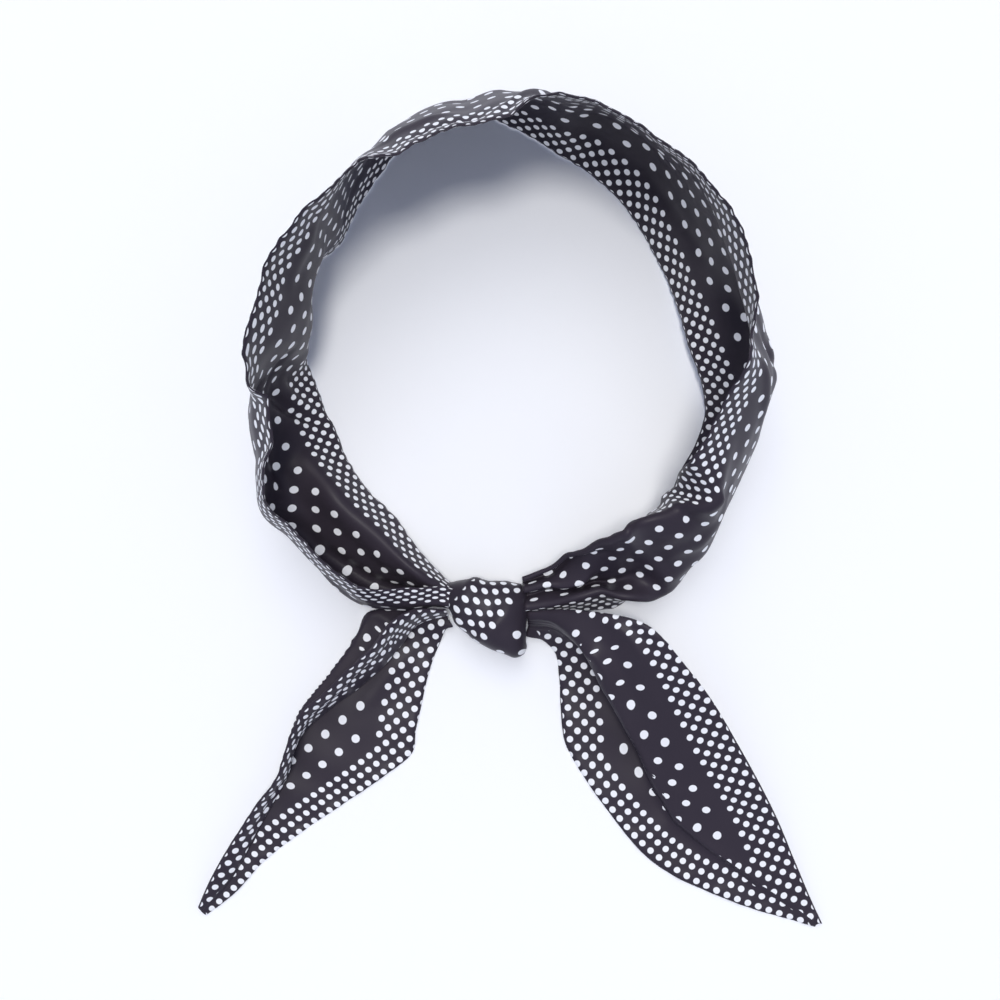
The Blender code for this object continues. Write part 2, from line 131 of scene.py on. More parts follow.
# The tails' sections from knot to tip, x y height of each corner, from the
# picture's middle: x to the right, y to the far side.
TAIL_LEFT = (
    # hem               shoulder            foot               fold               free edge
    (-15.2, -29.8, 9.0, -14.5, -30.4, 9.0, -14.2, -32.6, 4.0, -15.9, -30.4, 1.2, -13.1, -35.4, 3.0),
    (-24.0, -29.6,  15, -23.5, -31.2,  15, -23.0, -35.4, 4.0, -28.0, -29.5, 1.2, -15.4, -36.6, 2.0),
    (-29.3, -32.6,  19, -28.5, -34.2,  18, -27.3, -41.0, 3.5, -37.2, -31.0, 1.2, -16.9, -40.3, 0.0),
    (-33.6, -38.2,  21, -32.7, -39.6,  20, -31.3, -45.8, 3.0, -42.1, -38.7, 1.2, -18.6, -44.2, 0.0),
    (-40.8, -45.3,  21, -39.9, -46.8,  19, -39.1, -52.6, 2.5, -48.6, -47.4, 1.2, -20.6, -50.7, 0.0),
    (-47.6, -51.9,  19, -46.7, -53.4,  18, -47.0, -58.5, 2.2, -54.5, -54.5, 1.2, -22.3, -58.6, 0.0),
    (-53.4, -57.1,  18, -52.5, -58.3,  17, -53.0, -63.6, 2.0, -58.4, -60.4, 1.2, -23.7, -64.8, 0.0),
    (-56.5, -64.2,  17, -55.6, -65.0,  16, -56.4, -68.4, 1.8, -60.9, -66.8, 1.2, -24.5, -70.7, 0.0),
    (-60.1, -74.4,  15, -59.2, -74.8,  14, -59.5, -77.8, 1.5, -63.2, -76.4, 1.0, -32.4, -77.5, 0.0),
    (-66.9, -83.5,  10, -65.1, -83.7, 9.5, -63.5, -85.4, 1.2, -66.3, -85.1, 1.0, -44.2, -85.6, 0.0),
    (-72.6, -92.2, 7.0, -69.9, -92.3, 6.5, -67.7, -93.3, 1.0, -70.4, -93.3, 0.8, -56.3, -93.8, 0.0),
    (-77.3, -99.5, 4.5, -74.2, -99.8, 4.4, -71.0, -100.4, 0.8, -73.6, -100.4, 0.6, -66.5, -101.7, 0.0),
    (-81.4,  -107, 3.0, -78.8, -107.8, 2.8, -76.4, -108.9, 0.7, -78.6, -108.6, 0.5, -74.4, -110.4, 0.0),
    (-84.6,  -114, 1.4, -84.1, -114.8, 1.4, -83.4, -115.7, 0.5, -84.4, -115.4, 0.4, -82.6, -116.8, 0.0),
)
TAIL_RIGHT = (
    # hem                 crest                tuck                 free edge
    (7.2, -30.4, 9.0, 7.5, -32.2, 10.0, 8.0, -35.0, 4.0, 7.0, -38.0, 3.0),
    (17.0, -29.6, 13.0, 13.5, -32.6, 13.0, 15.0, -36.0, 4.0, 12.0, -39.5, 1.5),
    (27.0, -30.0, 18.0, 17.5, -35.6, 15.5, 20.0, -39.0, 3.0, 15.5, -43.0, 0.0),
    (37.5, -32.2, 22.0, 21.5, -40.2, 17.0, 26.0, -43.5, 2.0, 16.5, -48.5, 0.0),
    (50.0, -45.0, 20.0, 26.5, -49.5, 16.0, 31.0, -52.5, 1.5, 17.0, -57.0, 0.0),
    (57.0, -54.0, 16.0, 31.0, -58.0, 14.0, 35.5, -61.0, 1.2, 17.5, -64.0, 0.0),
    (66.0, -68.5, 10.0, 36.0, -66.5, 11.0, 40.0, -69.0, 1.0, 19.0, -70.0, 0.0),
    (76.0, -86.5, 5.0, 41.5, -78.0, 7.0, 44.0, -80.5, 0.8, 30.0, -87.0, 0.0),
    (82.0, -100.0, 2.5, 49.0, -89.5, 4.0, 51.0, -91.5, 0.6, 42.5, -101.5, 0.0),
    (87.0, -111.5, 1.0, 66.5, -103.5, 2.0, 68.0, -104.5, 0.4, 65.5, -113.0, 0.0),
    (90.5, -119.0, 0.4, 88.8, -118.3, 0.5, 89.0, -118.8, 0.2, 88.5, -120.0, 0.0),
)
TAIL_ROUNDING = 4.0             # length over which a section's corner is rounded
TAIL_WINDOW = 16.0              # length of free edge that turns a row's print
LEFT_CORNER_ROW, RIGHT_CORNER_ROW = 7, 6        # the row at the short hem's corner
SEEN_UNDER_FLAP_TO_ROW = 3.3    # the left tail's lower layer shows beside the flap up to here
TURNED_UNDER = 12.5             # width of the right tail's hem turned under at the knot
TURNED_TO_ROW = 6.0
FLAP_SHARE, FLAP_FADE = 0.2, 0.3        # of the left tail's hidden layer: the flap's print, its fade
TAIL_AREA = 0.88                # share of the plain cut that shows, a guess: the rest is gathered in
MOST_LEAN = 0.95                # of a section along the ribbon, where the print is rolled out

# Loops of the knot's wrap: x, far side y, near side y, top height.
KNOT = (
    (-15.0, -24.0, -28.5, 8.0),
    (-13.5, -23.0, -31.0, 11.0),
    (-11.5, -22.5, -34.5, 13.0),
    (-7.5, -22.0, -38.0, 14.5),
    (-3.0, -22.5, -40.5, 15.5),
    (1.5, -22.5, -42.0, 15.5),
    (4.0, -23.0, -43.0, 14.5),
    (6.0, -23.5, -42.5, 12.5),
    (7.0, -24.5, -41.5, 9.0),
)
KNOT_SQUARENESS = 2.6
KNOT_LEAN = 31.0                # the wrap runs slanted round the knot, degrees
KNOT_BORDER = 11.8              # distance across the ribbon at the wrap's top
KNOT_PRINT = 1.02               # the wrap's print is drawn together by this
KNOT_LIFT = 0.3                 # the wrap's lowest point over the table
KNOT_EDGE = 0.6                 # the wrap's ends stop this far inside its hems
KNOT_CREASES = (
    (-14, 0.0, 12, 2.0, -0.7, 1.4),
    (-12, 6.0, 16, 8.0, 0.5, 1.8),
    (-10, 13.0, 14, 11.0, -0.5, 1.6),
    (-4, 3.0, 14, 6.0, -0.5, 1.1),
)

# The ring's centre in the frame: the knot's solid starts this far left and near of it.
KNOT_LEFT, KNOT_NEAR = -17.25, -85.3
RING_AT = (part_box("knot_wrap")[0][0] * 1000.0 - KNOT_LEFT,
           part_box("knot_wrap")[0][1] * 1000.0 - KNOT_NEAR)

# Creases in the flat cloth: start and end as a bearing (on a
# tail, a distance from the knot) and a distance across; height (a valley is
# negative) and half width.
RING_CREASES = (
    # start       end       height width
    (-168, 24.0, -128, 31.0, -1.5, 2.6),
    (-167, 33.0, -138, 40.0, -1.2, 2.2),
    (-166, 29.0, -146, 34.0, 0.9, 1.8),
    (-160, 18.0, -122, 17.0, 0.9, 2.8),
    (-150, 44.0, -118, 38.0, 1.0, 3.0),
    (-134, 24.0, -112, 21.0, -0.8, 2.4),
    (-113, 2.0, -101, 24.0, -1.5, 1.7),
    (-109, 1.0, -97, 20.0, 0.9, 1.6),
    (-112, 26.0, -100, 40.0, -1.3, 2.4),
    (-104, 22.0, -92, 33.0, -0.8, 2.0),
    (-90, 30.0, -62, 24.0, -0.6, 3.4),
    (-84, 44.0, -52, 50.0, 0.5, 2.6),
    (-58, 12.0, -34, 18.0, -0.5, 2.8),
    (-40, 40.0, -12, 47.0, -0.9, 2.0),
    (-33, 52.0, -4, 55.5, 0.7, 1.5),
    (-20, 22.0, 2, 30.0, -0.5, 2.8),
    (-6, 58.0, 14, 30.0, -1.0, 1.8),
    (1, 56.0, 20, 26.0, 0.6, 1.6),
    (12, 20.0, 44, 26.0, -0.5, 3.6),
    (26, 36.0, 62, 30.0, 0.6, 3.8),
    (40, 14.0, 72, 18.0, -0.5, 2.6),
    (58, 40.0, 90, 34.0, -0.8, 3.0),
    (82, 20.0, 104, 36.0, -1.2, 2.2),
    (86, 44.0, 106, 20.0, 0.9, 2.0),
    (94, 50.0, 112, 30.0, -0.9, 1.8),
    (108, 16.0, 138, 20.0, -0.5, 3.2),
    (118, 34.0, 150, 30.0, -0.6, 2.6),
    (146, 24.0, 176, 20.0, -0.6, 1.8),
    (150, 40.0, 176, 36.0, 0.4, 1.6),
)
LEFT_TAIL_CREASES = (
    (0, 46.0, 26, 50.0, -0.7, 1.5),
    (2, 40.0, 34, 38.0, -0.6, 2.2),
    (20, 52.0, 44, 42.0, 0.35, 2.4),
    (2, 6.0, 40, 9.0, -0.5, 1.4),
    (30, 4.0, 70, 6.0, 0.4, 1.2),
    (58, 8.0, 92, 3.0, -0.5, 1.3),
    (66, 22.0, 88, 12.0, 0.3, 2.0),
)
RIGHT_TAIL_CREASES = (
    (0, 10.0, 30, 12.0, -0.9, 1.8),
    (0, 16.0, 46, 20.0, 0.8, 2.6),
    (2, 22.0, 30, 25.0, -0.8, 1.6),
    (24, 14.0, 70, 16.0, -0.45, 3.4),
    (34, 24.0, 60, 27.0, -0.7, 1.4),
    (10, 52.0, 34, 48.0, 0.4, 1.8),
    (60, 20.0, 78, 30.0, -0.5, 2.0),
    (70, 8.0, 92, 4.0, 0.35, 2.4),
)
CREASE_ENDS = 3.2               # a crease is whole after 1 / this of its length
CREASE_BEND, CREASE_PACE = 1.1, 2.6             # reach and pace of the bends in a crease
PUCKER = 0.26                   # height of the hems' small waves
PUCKER_WIDTH = 2.4              # distance over which they fade
UNEVEN = 0.16                   # height of the faint waves all over the cloth

# ---------------------------------------------------------------- the print
# A square lattice of dots at 45 degrees, 28 steps of one column to the width.
MIDDLE_COLUMN = 14.0            # the column at the ribbon's middle
FIELD_COLUMN = 8.0              # the field's lattice, twice as wide, starts from this column
BORDER_FROM = 8.5               # columns from the middle to the border
FIELD_WITHIN = 3.5              # double columns from the middle to the field's end
CUT_CLEAR = 0.05                # rows at the slanted end without a dot
FIRST_ROW = 0.3                 # rows from the slanted end to its first row of dots
BORDER_ROWS = 2.9               # the slanted end has border dots up to this row
FIELD_ROWS = 2.0                # and the field from this double row
DOT_BLUR = 0.10                 # width of a dot's soft edge
HEM_CLEAR = 0.45                # the print ends this far from a hem
HEM_BLUR = 0.2                  # width of its soft end there
NO_CUT = 1.0e5                  # further than any sheet reaches, for one with no slanted end

# ---------------------------------------------------------------- the satin
DEEP, PALE, GLINT = 0.86, 1.16, 1.35            # shades of the cloth's colour
WORN_PAINT = (0.62, 0.62, 0.66, 1.0)            # the dots' paint where a thread stands up
# The dots give off a little light, so that they stay pale in the shade.
DOT_GLOW, NO_GLOW = (0.17, 0.17, 0.18, 1.0), (0.0, 0.0, 0.0, 1.0)
THREAD_HEIGHT, DOT_HEIGHT = 0.012, 0.006        # relief in the bump
SHEEN_COLOUR = (0.62, 0.60, 0.76, 1.0)

# ---------------------------------------------------------------- resolution
SECTION_STEPS = 240             # steps that a section is worked out in
RING_ROWS, RING_COLUMNS = 560, 60
TAIL_ROWS, TAIL_COLUMNS = 140, 72
KNOT_ROWS, KNOT_POINTS = 48, 96

# ---------------------------------------------------------------- stage
PHOTO_WIDTH = 281.7             # width of table in the picture, mm
TABLE_HALF = 3.0                # half the table's side, metres
TABLE_DROP = 0.0002             # metres, so that cloth and table share no face
ROOM_COLOUR = (0.67, 0.75, 1.0, 1.0)
LAMP_COLOUR = (1.0, 0.985, 0.95)
LAMP_AT = (0.0, 0.3, 0.6)       # metres; a sun lights the same from any place


# ---------------------------------------------------------------- settings
class RIBBON_PG_cloth(PropertyGroup):
    """Colours and finish of the satin and of its print."""
    cloth: FloatVectorProperty(
        name="Cloth", description="Colour of the satin's ground", subtype="COLOR",
        size=3, min=0.0, max=1.0, default=(0.034, 0.0275, 0.038))
    dots: FloatVectorProperty(
        name="Dots", description="Colour of the printed dots", subtype="COLOR",
        size=3, min=0.0, max=1.0, default=(0.70, 0.71, 0.735))
    pitch: FloatProperty(
        name="Dot pitch", description="Distance between two columns of small dots, in millimetres",
        min=1.0, max=5.0, default=2.143)
    small_dot: FloatProperty(
        name="Small dot", description="Radius of the border's dots, in millimetres",
        min=0.3, max=2.0, default=0.90)
    big_dot: FloatProperty(
        name="Big dot", description="Radius of the field's dots, in millimetres",
        min=0.3, max=3.0, default=1.16)
    roughness: FloatProperty(
        name="Roughness", description="Roughness of the satin", min=0.1, max=1.0,
        subtype="FACTOR", default=0.40)


class RIBBON_PG_stage(PropertyGroup):
    """Table, light and the height the camera looks from."""
    table: FloatVectorProperty(
        name="Table", description="Colour of the table", subtype="COLOR",
        size=3, min=0.0, max=1.0, default=(0.95, 0.955, 0.975))
    camera_height: FloatProperty(
        name="Camera height", description="Height of the camera over the table",
        subtype="DISTANCE", unit="LENGTH", min=0.1, max=2.0, default=0.340)
    softbox: FloatProperty(
        name="Soft light", description="Strength of the large light at the far side",
        min=0.0, max=10.0, default=0.80)
    overhead: FloatProperty(
        name="Overhead fill", description="Strength of the light beside the camera",
        min=0.0, max=10.0, default=1.45)
    room: FloatProperty(
        name="Room light", description="Strength of the light from all sides",
        min=0.0, max=5.0, default=0.52)


# ---------------------------------------------------------------- curves
def ease(u):
    """From 0 to 1 with a soft start and end, for u from 0 to 1."""
    return u * u * (3.0 - 2.0 * u)


def hermite(keys, at, val, tangent):
    """The cubic with these values and tangents at its rows, read at the keys."""
    i = np.clip(np.searchsorted(at, keys, side="right") - 1, 0, len(at) - 2)
    step = (at[i + 1] - at[i])[:, None]
    u = (keys - at[i])[:, None] / step
    start = val[i] * (1 + 2 * u) * (1 - u) ** 2 + tangent[i] * step * u * (1 - u) ** 2
    end = val[i + 1] * ease(u) + tangent[i + 1] * step * u * u * (u - 1)
    return start + end


def flow(keys, table):
    """Smooth values of the table's columns at the keys; column 0 is the key."""
    table = np.asarray(table, float)
    at, val = table[:, 0], table[:, 1:]
    return hermite(keys, at, val, np.gradient(val, at, axis=0))


def glide(keys, table):
    """The same without overshoot, for slopes that jump from row to row."""
    table = np.asarray(table, float)
    at, val = table[:, 0], table[:, 1:]
    rate = np.diff(val, axis=0) / np.diff(at)[:, None]
    before, after = rate[:-1], rate[1:]
    same = before * after > 0
    tangent = np.zeros_like(val)
    tangent[1:-1] = np.where(same, 2.0 * before * after / np.where(same, before + after, 1.0), 0.0)
    tangent[0], tangent[-1] = rate[0], rate[-1]
    return hermite(keys, at, val, tangent)


def unit(v):
    """The vectors at length 1."""
    return v / np.maximum(np.linalg.norm(v, axis=-1, keepdims=True), 1e-9)


def arc_length(points):
    """Distance of each point from the first one, along the line through them."""
    steps = np.linalg.norm(np.diff(points, axis=0), axis=1)
    return np.concatenate([[0.0], np.cumsum(steps)])


def arc_across(grid):
    """Distance of each point from the first one of its section."""
    steps = np.linalg.norm(np.diff(grid, axis=1), axis=2)
    return np.hstack([np.zeros((len(grid), 1)), np.cumsum(steps, 1)])


def evenly(points, count, rounding):
    """A section's corners rounded, as count + 1 points at even distances."""
    length = arc_length(points)
    where = np.linspace(0.0, length[-1], SECTION_STEPS + 1)
    line = np.stack([np.interp(where, length, points[:, k]) for k in range(3)], 1)
    index = np.arange(SECTION_STEPS + 1)
    reach = max(1, int(rounding / max(length[-1], 1e-6) * SECTION_STEPS / 2))
    half = np.minimum(np.minimum(index, SECTION_STEPS - index), reach)
    for _ in range(2):          # a moving mean, twice
        total = np.vstack([np.zeros(3), np.cumsum(line, 0)])
        line = (total[index + half + 1] - total[index - half]) / (2 * half + 1)[:, None]
    length = arc_length(line)
    where = np.linspace(0.0, length[-1], count + 1)
    return np.stack([np.interp(where, length, line[:, k]) for k in range(3)], 1)


# ---------------------------------------------------------------- the form
def ring_sections(bearings, across):
    """Sections of the ribbon round the ring, shape (rows, across + 1, 3), mm."""
    place = flow(bearings, [row[:3] for row in RING])
    slopes = glide(bearings, [(row[0],) + row[3:] for row in RING])
    near_knot = np.clip((np.abs(bearings) - NECK_FROM) / NECK_LENGTH, 0.0, 1.0)[:, None]
    roll = FOLD_ROLL + (FOLD_ROLL_AT_KNOT - FOLD_ROLL) * near_knot
    step = RIBBON_WIDTH / SECTION_STEPS
    t = (np.arange(SECTION_STEPS) + 0.5) * step
    slope = np.repeat(slopes[:, :1], SECTION_STEPS, axis=1)
    for k, fold in enumerate(np.cumsum(PANELS)[:-1]):
        turned = ease(np.clip((t - fold)[None] / roll + 0.5, 0.0, 1.0))
        slope = slope + (slopes[:, k + 1:k + 2] - slopes[:, k:k + 1]) * turned
    slope = np.radians(slope)
    radius = np.hstack([place[:, :1], place[:, :1] + np.cumsum(np.cos(slope), 1) * step])
    height = np.hstack([place[:, 1:], place[:, 1:] + np.cumsum(np.sin(slope), 1) * step])
    keep = np.linspace(0, SECTION_STEPS, across + 1).round().astype(int)
    radius, height = radius[:, keep], np.maximum(height[:, keep], 0.0)
    pressed = np.interp(bearings, *np.transpose(NECKS))[:, None]
    height = height / np.cbrt(1.0 + (height * pressed) ** 3)
    bearing = np.radians(bearings)[:, None]
    return np.stack([radius * np.sin(bearing), radius * np.cos(bearing), height], -1)


def from_knot(points):
    """Points of the knot's and tails' tables, from the picture's middle to the ring's centre."""
    return np.asarray(points, float) - (KNOT_SHIFT, KNOT_DROP, 0.0)


def tail_sections(table, across, rows, hidden):
    """Sections of a tail from knot to tip, their place in the table and the hidden layer.

    hidden: the two corners of each row that the layer out of sight runs between.
    """
    corners = from_knot([np.reshape(row, (-1, 3)) for row in table])
    key = arc_length(corners.mean(axis=1))
    flat = np.hstack([key[:, None], corners.reshape(len(key), -1)])
    where = np.linspace(0.0, key[-1], rows + 1)
    lines = flow(where, flat).reshape(rows + 1, -1, 3)
    lines[..., 2] = np.maximum(lines[..., 2], 0.0)
    grid = np.stack([evenly(line, across, TAIL_ROUNDING) for line in lines])
    length = np.array([arc_length(line) for line in lines])
    layer = length[:, list(hidden)] / length[:, -1:]
    return grid, np.interp(where, key, np.arange(len(key))), layer


# ---------------------------------------------------------------- flat pattern
def ring_flat(grid):
    """Distance along the ribbon for every point of the ring, least distorted.

    The distance across is known; the one along is relaxed so that each step of
    the grid keeps its own length and its own angle, as woven cloth would.
    """
    rows, columns = grid.shape[:2]
    across = RIBBON_WIDTH / (columns - 1)
    along = np.linalg.norm(grid[1:] - grid[:-1], axis=2)
    ahead = unit(np.gradient(grid, axis=0))
    beside = unit(grid[:, 1:] - grid[:, :-1])
    lean = np.sum(0.5 * (ahead[:, 1:] + ahead[:, :-1]) * beside, axis=2) * across
    weight = (float(along.mean()) / across) ** 2

    def gathered(steps_along, steps_across):
        """What the steps of the grid add up to at its points."""
        out = np.zeros((rows, columns))
        out[1:] += steps_along
        out[:-1] -= steps_along
        out[:, 1:] += weight * steps_across
        out[:, :-1] -= weight * steps_across
        return out

    s = np.zeros((rows, columns))
    s[1:] = np.cumsum(along.mean(axis=1))[:, None]
    # least squares by conjugate gradients
    left = gathered(along, lean) - gathered(np.diff(s, axis=0), np.diff(s, axis=1))
    way = left.copy()
    error = np.sum(left * left)
    for _ in range(RELAX_ROUNDS):
        pull = gathered(np.diff(way, axis=0), np.diff(way, axis=1))
        share = error / max(np.sum(way * pull), 1e-12)
        s += share * way
        left -= share * pull
        new_error = np.sum(left * left)
        if new_error < 1e-6:
            break
        way = left + new_error / error * way
        error = new_error
    return s


def unrolled(edge, edge_flat, grid, arc, inward):
    """Flat places of a sheet's points, rolled out from one edge of it.

    arc: each point's distance from the edge along its section.
    inward: +1 if the cloth lies left of the flat edge's direction, -1 if right.
    """
    ahead = unit(np.gradient(edge, axis=0))[:, None]
    ahead_flat = unit(np.gradient(edge_flat, axis=0))
    across_flat = np.stack([-ahead_flat[:, 1], ahead_flat[:, 0]], 1) * inward
    chord = grid - edge[:, None]
    far = np.maximum(np.linalg.norm(chord, axis=2), 1e-6)
    lean = np.clip(np.sum(chord * ahead, axis=2) / far, -MOST_LEAN, MOST_LEAN)
    along = (arc * lean)[..., None] * ahead_flat[:, None]
    across = (arc * np.sqrt(1 - lean ** 2))[..., None] * across_flat[:, None]
    return edge_flat[:, None] + along + across


def laid_flat(edge, edge_flat, grid, window):
    """Flat places of points that lie on the table, turned there by their edge.

    Every row is turned and moved as its edge is over a window of that length, mm.
    """
    at = arc_length(edge)
    weight = np.exp(-((at[:, None] - at[None]) / window) ** 2)
    weight /= weight.sum(axis=1, keepdims=True)
    plan = edge[:, 0] - 1j * edge[:, 1]
    flat = edge_flat[:, 0] + 1j * edge_flat[:, 1]
    plan_mid, flat_mid = weight @ plan, weight @ flat
    product = weight @ (np.conj(plan) * flat) - np.conj(plan_mid) * flat_mid
    turn = product / np.abs(product)
    points = grid[..., 0] - 1j * grid[..., 1]
    out = (points - plan_mid[:, None]) * turn[:, None] + flat_mid[:, None]
    return np.stack([out.real, out.imag], -1)


def tail_edges(grid, place, corner_row, turned):
    """Length of a tail's long hem, and the flat places of its long hem and free edge.

    The free edge is the slanted cut from the tip to the corner, then the short hem.
    turned: width of cloth turned under at the long hem beside the knot.
    """
    hem = arc_length(grid[::-1, 0])[::-1]
    free = arc_length(grid[::-1, -1])[::-1]
    corner = np.interp(corner_row, place, free)
    length = 0.5 * (hem[0] + RIBBON_WIDTH + free[0] - corner)
    up_the_cut = np.minimum(free / corner, 1.0) * RIBBON_WIDTH
    up_the_hem = np.maximum(free - corner, 0.0)
    under = turned * (1.0 - ease(np.clip(place / TURNED_TO_ROW, 0.0, 1.0)))
    free_flat = np.stack([length - up_the_cut - up_the_hem, up_the_cut], 1)
    return length, np.stack([length - hem, under], 1), free_flat


def tail_flat(grid, place, corner_row, layer, flap, turned):
    """Flat coordinates of a tail: along from the knot, across from the long hem.

    What shows is rolled out from the edge it belongs to; the hidden layer takes
    up the slack between them and stays unprinted.
    flap: the long hem stands over the cloth, whose other face shows beside it.
    """
    length, hem_flat, free_flat = tail_edges(grid, place, corner_row, turned)
    arc = arc_across(grid)
    wide = arc[:, -1:]
    first, last = layer[:, :1] * wide, layer[:, 1:] * wide
    share = np.clip((arc - first) / np.maximum(last - first, 1e-6), 0.0, 1.0)
    covered = (share > 0.0) & (share < 1.0) & (place[:, None] > SEEN_UNDER_FLAP_TO_ROW)
    seen = grid * (1.0, -1.0 if flap else 1.0, 1.0)
    table = laid_flat(seen[:, -1], free_flat, seen, TAIL_WINDOW)
    if flap:                    # the layer under the flap shows beyond it, near its fold
        row = np.arange(len(grid))
        column = (last[:, 0] / wide[:, 0] * (grid.shape[1] - 1)).round().astype(int)
        column = np.clip(column, 1, None)
        under = unrolled(grid[row, column], table[row, column], grid, last - arc, -1.0)
        table = np.where(share[..., None] < 1.0, under, table)
        share = np.clip((share - FLAP_SHARE) / FLAP_FADE, 0.0, 1.0)
    part = share[..., None]
    flat = unrolled(grid[:, 0], hem_flat, grid, arc, 1.0) * (1 - part) + table * part
    shown = ((share < 0.01) | (share > 0.99)) & ~covered
    return flat[..., 0], flat[..., 1], length, shown.astype(float)


# ---------------------------------------------------------------- sheets
def grid_normals(grid):
    """Unit normals of the sheet at the grid's points."""
    return unit(np.cross(np.gradient(grid, axis=0), np.gradient(grid, axis=1)))


def creased(grid, s, t, edge, creases):
    """The grid with its creases, hem puckers and faint unevenness along the normal."""
    rise = np.zeros(s.shape)
    for s0, t0, s1, t1, high, wide in creases:
        ds, dt = s1 - s0, t1 - t0
        span = math.hypot(ds, dt)
        u = ((s - s0) * ds + (t - t0) * dt) / span ** 2
        off = ((s - s0) * dt - (t - t0) * ds) / span
        taper = ease(np.clip(np.minimum(u, 1.0 - u) * CREASE_ENDS, 0.0, 1.0))
        bent = off + CREASE_BEND * np.sin(CREASE_PACE * u + s0)
        rise += high * taper * np.exp(-(bent / wide) ** 2)
    waves = (np.sin(s * 1.27 + 1.3 * np.sin(s * 0.23)) + 0.8 * np.sin(s * 0.83 + 2.0 + t * 0.05)
             + 0.7 * np.sin(s * 2.05 + 1.7 * np.sin(s * 0.11)))
    rise += PUCKER * 0.4 * waves * np.exp(-edge / PUCKER_WIDTH)     # 0.4: the waves reach 2.5
    rise += UNEVEN * np.sin(s * 0.31 + t * 0.19 + 1.4 * np.sin(t * 0.11)) * np.sin(t * 0.27 - s * 0.09)
    return grid + grid_normals(grid) * rise[..., None]


def shell_faces(rows, columns):
    """Quads of both faces of a sheet and of the rim between them."""
    count = rows * columns
    index = np.arange(count).reshape(rows, columns)
    corners = [index[:-1, :-1], index[1:, :-1], index[1:, 1:], index[:-1, 1:]]
    upper = np.stack(corners, -1).reshape(-1, 4)
    rim = np.concatenate([index[0], index[1:, -1], index[-1, -2::-1], index[-2:0:-1, 0]])
    after = np.roll(rim, -1)
    side = np.stack([rim, after, after + count, rim + count], -1)
    return np.concatenate([upper, upper[:, ::-1] + count, side])


def cloth_shell(name, grid, s, t, edge, material, lift=LIFT, shown=None):
    """A closed thin sheet round the grid: both faces and rounded hems.

    edge: each point's distance from the nearest sewn edge; the cloth is thicker
    there, over the turned seam allowance, and rounded off at the edge itself.
    shown: 0 on the slack of a layer out of sight, which stays unprinted.
    """
    grid = grid + np.array((0.0, 0.0, lift))
    normal = grid_normals(grid)
    swell = np.exp(-((edge - HEM_MIDDLE) / HEM_SPREAD) ** 2)
    half = 0.5 * (CLOTH + HEM_SWELL * swell)
    half = half * np.sqrt(np.clip(edge / EDGE_ROUNDING, EDGE_KEPT, 1.0))
    upper = grid + normal * half[..., None]
    lower = grid - normal * half[..., None]
    upper[..., 2] = np.maximum(upper[..., 2], UPPER_LIFT)
    lower[..., 2] = np.maximum(lower[..., 2], 0.0)
    points = np.concatenate([upper.reshape(-1, 3), lower.reshape(-1, 3)])
    points[:, :2] += RING_AT
    mesh = bpy.data.meshes.new(name)
    mesh.from_pydata((points * 0.001).tolist(), [], shell_faces(*grid.shape[:2]).tolist())
    shown = np.ones(s.shape) if shown is None else shown
    for label, values in (("cloth_along", s), ("cloth_across", t), ("cloth_shown", shown)):
        layer = mesh.attributes.new(label, "FLOAT", "POINT")
        layer.data.foreach_set("value", np.tile(values.reshape(-1), 2).astype(np.float32))
    mesh.polygons.foreach_set("use_smooth", np.ones(len(mesh.polygons), bool))
    mesh.update()
    mesh.materials.append(material)
    obj = bpy.data.objects.new(name, mesh)
    bpy.context.scene.collection.objects.link(obj)
    return obj


# ---------------------------------------------------------------- materials
class Val:
    """A socket that takes part in Python arithmetic."""

    def __init__(self, tree, socket):
        self.tree = tree
        self.socket = socket

    def math(self, operation, *others):
        """A Math node of this value and the others."""
        inputs = dict(enumerate((self,) + others))
        return Tree.node_of(self.tree, "ShaderNodeMath", {"operation": operation}, inputs)

    def __add__(self, other):
        return self.math("ADD", other)

    def __sub__(self, other):
        return self.math("SUBTRACT", other)

    def __rsub__(self, other):
        return self.math("MULTIPLY_ADD", -1.0, other)

    def __mul__(self, other):
        return self.math("MULTIPLY", other)

    def __truediv__(self, other):
        return self.math("DIVIDE", other)

    __radd__ = __add__
    __rmul__ = __mul__

    def above(self, limit):
        """1 where the value is over the limit, else 0."""
        return self.math("GREATER_THAN", limit)

    def below(self, limit):
        """1 where the value is under the limit, else 0."""
        return self.math("LESS_THAN", limit)

    def clamp(self):
        """The value held between 0 and 1."""
        return Tree.node_of(self.tree, "ShaderNodeClamp", {}, {"Value": self})


